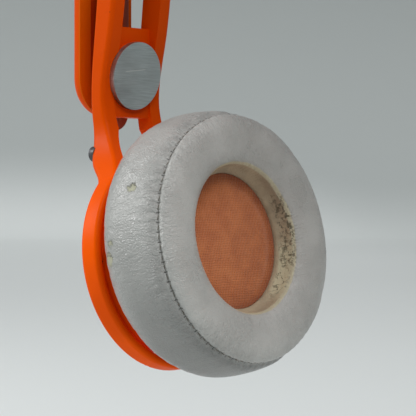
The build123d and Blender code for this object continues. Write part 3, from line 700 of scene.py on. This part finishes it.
def make_cushion(side, rows, points, leather, thread):
    """One ear cushion with its stitched seam."""

    def uv(i, j):
        wrap = np.append(rows, rows[-1] + BACK_STEP)
        return np.stack([i / ROUND, 0.5 + wrap[j] / UV_MM], -1)

    cushion = grid_object(f"ear_cushion_{side}", to_world(points, side), uv, True, leather)
    seam = int(np.argmin(np.abs(rows)))
    stitches = make_stitches(side, points[:, seam], thread)
    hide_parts(f"cushion_{side}")
    stitches.parent = cushion
    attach(cushion, f"cup_{side}")


def make_stitches(side, line, thread):
    """Short lengths of thread that lie in the seam's groove, one for each stitch."""
    reach, thick, slope = 0.74, 0.15, 0.16  # half length, radius, and lean across the seam
    bulge, sunk = 0.10, 0.04  # how far the middle stands up and the ends go down
    tip = 0.25  # thickness at the ends, as a part of the middle's
    facets, rings = 8, 9
    build = bmesh.new()
    for k in range(STITCHES):
        way = (k + 0.5) / STITCHES
        turn = way * 2 * math.pi
        seat = line[round(way * ROUND) % ROUND]
        out = np.array((math.cos(turn), math.sin(turn), 0)) * 0.70 + np.array((0, 0, 0.71))
        run = np.array((-math.sin(turn), math.cos(turn), 0))
        across = np.cross(run, out)
        run = run + across * slope
        previous = None
        for t in np.linspace(-1, 1, rings):
            bow = math.sqrt(max(0.0, 1 - t * t))
            middle = seat + run * reach * t + out * (bulge * bow - sunk)
            ring = []
            for a in circle(facets):
                offset = (out * math.cos(a) + across * math.sin(a)) * thick * (tip + (1 - tip) * bow)
                ring.append(build.verts.new(to_world(middle + offset, side)))
            if previous is None:
                build.faces.new(ring[::-1])
            else:
                for a in range(facets):
                    b = (a + 1) % facets
                    build.faces.new((previous[a], previous[b], ring[b], ring[a]))
            previous = ring
        build.faces.new(previous)
    mesh = bpy.data.meshes.new(f"seam_stitches_{side}")
    write_mesh(build, mesh)
    return link_mesh(mesh, thread)


def make_speaker_cloth(side, material):
    """The cloth over the driver: stretched, slightly slack, and dished at its edge."""
    flat_r, dish_r = 17.0, 16.6
    rise, dish, waver = 0.30, 0.25, 0.20  # depths of the bulge, the dish and the waves
    radii = np.concatenate([np.linspace(0.4, flat_r, 36), np.linspace(flat_r + 0.4, CLOTH_R, 6)])
    turn = circle(CLOTH_ROUND)
    c, s = np.cos(turn)[:, None], np.sin(turn)[:, None]
    part = (radii / CLOTH_R) ** 2
    slack = rise * (1 - part) - dish * hump(radii, dish_r, 1.2)
    sway = waver * ripples(turn, 2, 9, 5)[:, None] * part * (1 - part)
    points = np.stack([radii * c, radii * s, CLOTH_N + slack + sway], -1)

    def uv(i, j):
        a = i / CLOTH_ROUND * 2 * math.pi
        r = radii[np.minimum(j, len(radii) - 1)] / UV_MM
        return np.stack([0.5 + r * np.cos(a), 0.5 + r * np.sin(a)], -1)

    cloth = grid_object(f"speaker_mesh_{side}", to_world(points, side), uv, False, material)
    build = bmesh.new()
    build.from_mesh(cloth.data)
    rim = sorted((e for e in build.edges if e.is_boundary), key=lambda e: e.calc_length())
    middle = build.faces.new(ring_of(rim[:CLOTH_ROUND]))
    middle.smooth = True
    layer = build.loops.layers.uv.active
    for loop in middle.loops:
        beside = next(other for other in loop.vert.link_loops if other.face is not middle)
        loop[layer].uv = beside[layer].uv
    write_mesh(build, cloth.data)
    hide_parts(f"speaker_cloth_{side}")
    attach(cloth, f"cup_{side}")


def ring_of(edges):
    """The vertices of a closed loop of edges, in order."""
    follow = {}
    for edge in edges:
        a, b = edge.verts
        follow.setdefault(a, []).append(b)
        follow.setdefault(b, []).append(a)
    start = edges[0].verts[0]
    loop, previous, current = [start], start, follow[start][0]
    while current is not start:
        loop.append(current)
        ahead = [v for v in follow[current] if v is not previous]
        previous, current = current, ahead[0]
    return loop


def make_crown_pad(material):
    """The soft pad under the crown: a rounded strip with stitched cross channels."""
    half_turn = math.radians(24.0)
    thick = 0.0036
    blocks = 7  # soft blocks between the cross channels
    inset = 0.995  # its length, as a part of the CAD pad's
    pinch, waist = 0.62, 0.93  # depth left in a channel, and width left at the ends
    square_y, square_z = 0.42, 0.62  # how square the section is, across and in depth
    _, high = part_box("crown_pad")
    top_r = high[0] / math.sin(half_turn)
    centre_z = high[2] - top_r
    along, ring = np.linspace(-1, 1, 241), circle(56)
    points = np.empty((len(ring), len(along), 3))
    for i, t in enumerate(along):
        end = (1 - abs(t) ** 14) ** 0.5
        channel = abs(math.sin(t * blocks / 2 * math.pi))
        puff = pinch + (1 - pinch) * min(1.0, channel * 2.6) ** 0.5
        turn = t * half_turn * inset
        for j, a in enumerate(ring):
            aside = math.copysign(abs(math.cos(a)) ** square_y, math.cos(a))
            rise = math.copysign(abs(math.sin(a)) ** square_z, math.sin(a))
            y = high[1] * aside * (waist + (1 - waist) * end)
            depth = thick / 2 - rise * thick / 2 * end * (puff if rise < 0 else 1.0)
            r = top_r - depth
            points[j, i] = (r * math.sin(turn), y, centre_z + r * math.cos(turn))
    pad = grid_object("crown_cushion", points, None, False, material)
    build = bmesh.new()
    build.from_mesh(pad.data)
    bmesh.ops.holes_fill(build, edges=[e for e in build.edges if e.is_boundary])
    write_mesh(build, pad.data)
    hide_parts("crown_pad")
    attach(pad, "headband")


# ---- surroundings ---------------------------------------------------------------------------
def backdrop_material(floor_z):
    """A pale matt surface with painted shading: lighter on the floor than up the wall, and darker to
    the right.
    """
    f = Finish("backdrop", Roughness=0.9, Specular_IOR_Level=0.2)
    at = f.place()
    x, y, z = f.split(at)
    right = f.plus(f.times(x, math.cos(VIEW_TURN)), f.times(y, math.sin(VIEW_TURN)))
    height = f.plus(z, f.times(f.noise(at, 0.5, 2), 0.12))
    height = f.plus(height, f.ramp(right, -0.3, 0.7, 0.0, 0.16))
    pale_z, dark_z = floor_z + 0.06, floor_z + 0.42
    tone = f.ramp(height, pale_z, dark_z)
    f.set(Base_Color=f.mix(tone, rgb(226, 230, 229), rgb(178, 183, 182)))
    return f.material


def add_stage():
    """A pale round floor that sweeps up into a wall far away on every side."""
    drop = 0.06  # the floor below the part
    inside, start, bend, top = 0.5, 6.0, 1.2, 4.2  # first ring, foot of the sweep, its radius, height
    columns, arc = 128, 24
    floor_z = CAD_BOX[0][2] - drop
    profile = [(inside, 0.0), (start, 0.0)]
    for a in np.linspace(0, math.pi / 2, arc)[1:]:
        profile.append((start + bend * math.sin(a), bend - bend * math.cos(a)))
    profile.append((start + bend, top))
    turn = circle(columns)
    reach, up = np.array(profile).T
    points = np.stack([reach * np.cos(turn)[:, None], reach * np.sin(turn)[:, None],
                       np.broadcast_to(floor_z + up, (columns, len(profile)))], -1)
    sweep = grid_object("studio_sweep", points, None, False, backdrop_material(floor_z))
    build = bmesh.new()
    build.from_mesh(sweep.data)
    middle = [e for e in build.edges if e.is_boundary and e.verts[0].co.z < floor_z + bend]
    build.faces.new(ring_of(middle))
    write_mesh(build, sweep.data)


def aim_light(data, place):
    """Puts the light in the scene, turned to the middle of the part."""
    middle = Vector((-0.05, 0, -0.13))
    lamp = bpy.data.objects.new(data.name, data)
    lamp.location = place
    lamp.rotation_euler = (middle - Vector(place)).to_track_quat("-Z", "Y").to_euler()
    bpy.context.scene.collection.objects.link(lamp)


def add_lights():
    """A broad soft light from above right, a weak fill from the left, and a pale room."""
    world = bpy.data.worlds.new("studio")
    bpy.context.scene.world = world
    world.use_nodes = True
    room = world.node_tree.nodes["Background"].inputs
    room["Color"].default_value = (0.94, 0.97, 1.0, 1)
    room["Strength"].default_value = 0.24
    soft = bpy.data.lights.new("soft_sun", "SUN")
    soft.energy = 1.75
    soft.angle = math.radians(35)
    aim_light(soft, (0.62, -0.30, 0.86))
    fill = bpy.data.lights.new("fill", "AREA")
    fill.shape = "SQUARE"
    fill.size = 0.45
    fill.energy = 9.5
    aim_light(fill, (-1.00, -0.70, 0.55))
    bpy.context.scene.view_settings.view_transform = "Standard"


def main():
    add_camera()
    paint_nodes()
    rows, points = cushion_points()
    leather, thread = white_leather(), stitch_thread()
    cloth = speaker_cloth()
    for side in SIDES:
        make_cushion(side, rows, points, leather, thread)
        make_speaker_cloth(side, cloth)
    make_crown_pad(pad_cover())
    add_stage()
    add_lights()


main()
